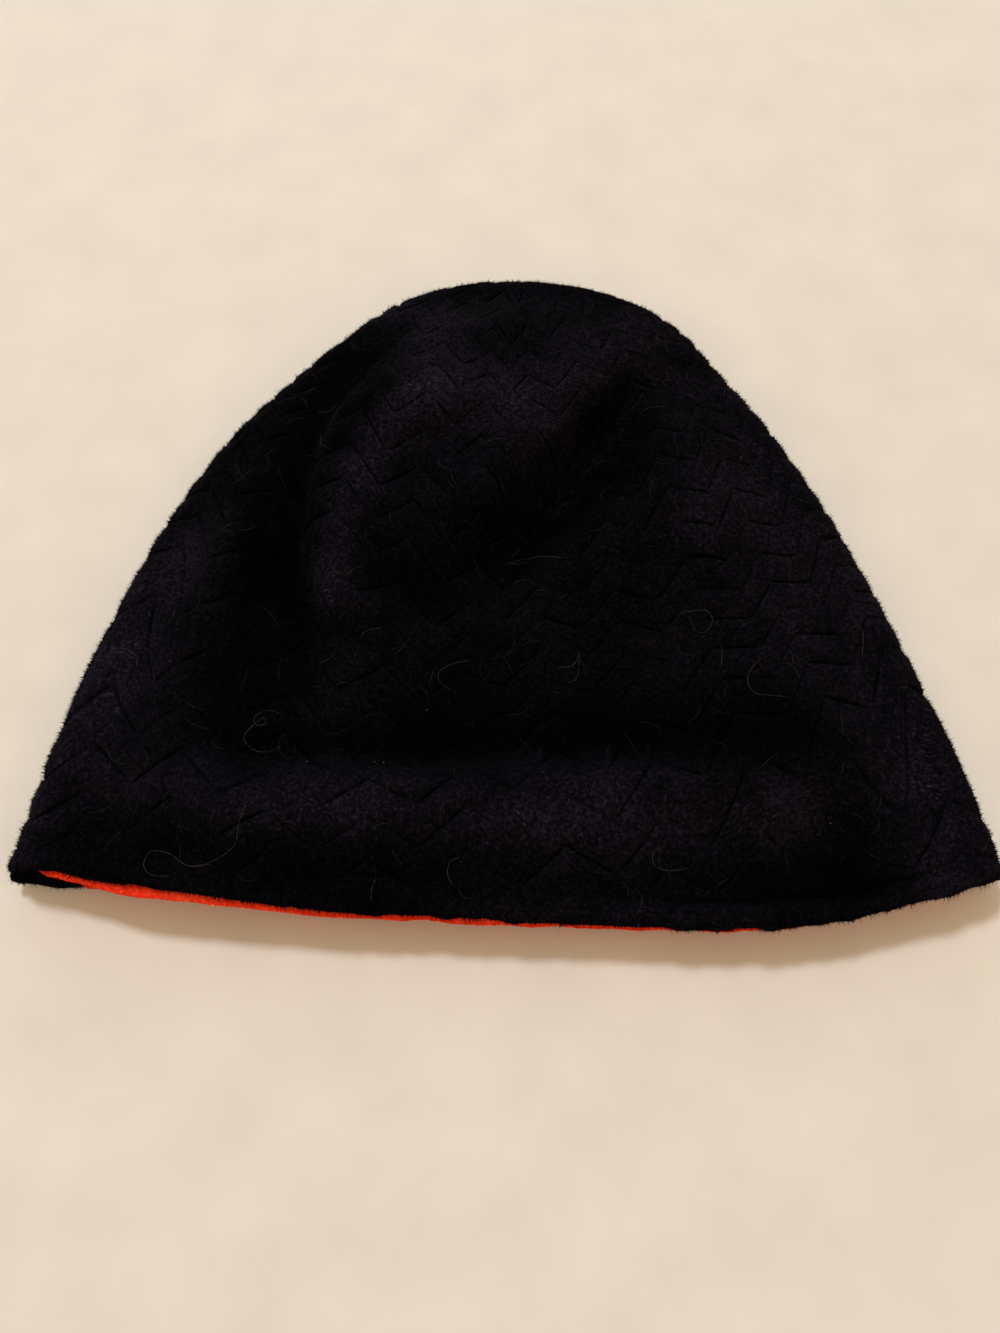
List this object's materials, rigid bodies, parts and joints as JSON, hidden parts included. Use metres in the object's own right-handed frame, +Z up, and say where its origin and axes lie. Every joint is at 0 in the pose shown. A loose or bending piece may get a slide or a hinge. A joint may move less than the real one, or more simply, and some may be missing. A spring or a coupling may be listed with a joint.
{
  "type": "lined plush beanie",
  "caption": "Soft pull-on beanie lying flat: a black zigzag-embossed plush outer layer with a bright orange plush lining showing along the rim.",
  "frame": {"origin": "on the surface the hat lies on, under the middle of its bounding box", "axes": "+X across the hat to its right as it is seen from above with the rim nearest, +Y from the rim to the crown, +Z up from the surface"},
  "size_m": [0.2798, 0.228, 0.0312],
  "materials": {
    "outer_plush": "matte black short-pile plush with an embossed zigzag of fine grooves",
    "lining_plush": "matte bright orange short-pile plush"
  },
  "bodies": {
    "root": {"outer_front": "outer_plush", "outer_back": "outer_plush", "lining_front": "lining_plush", "lining_back": "lining_plush"}
  },
  "joints": []
}
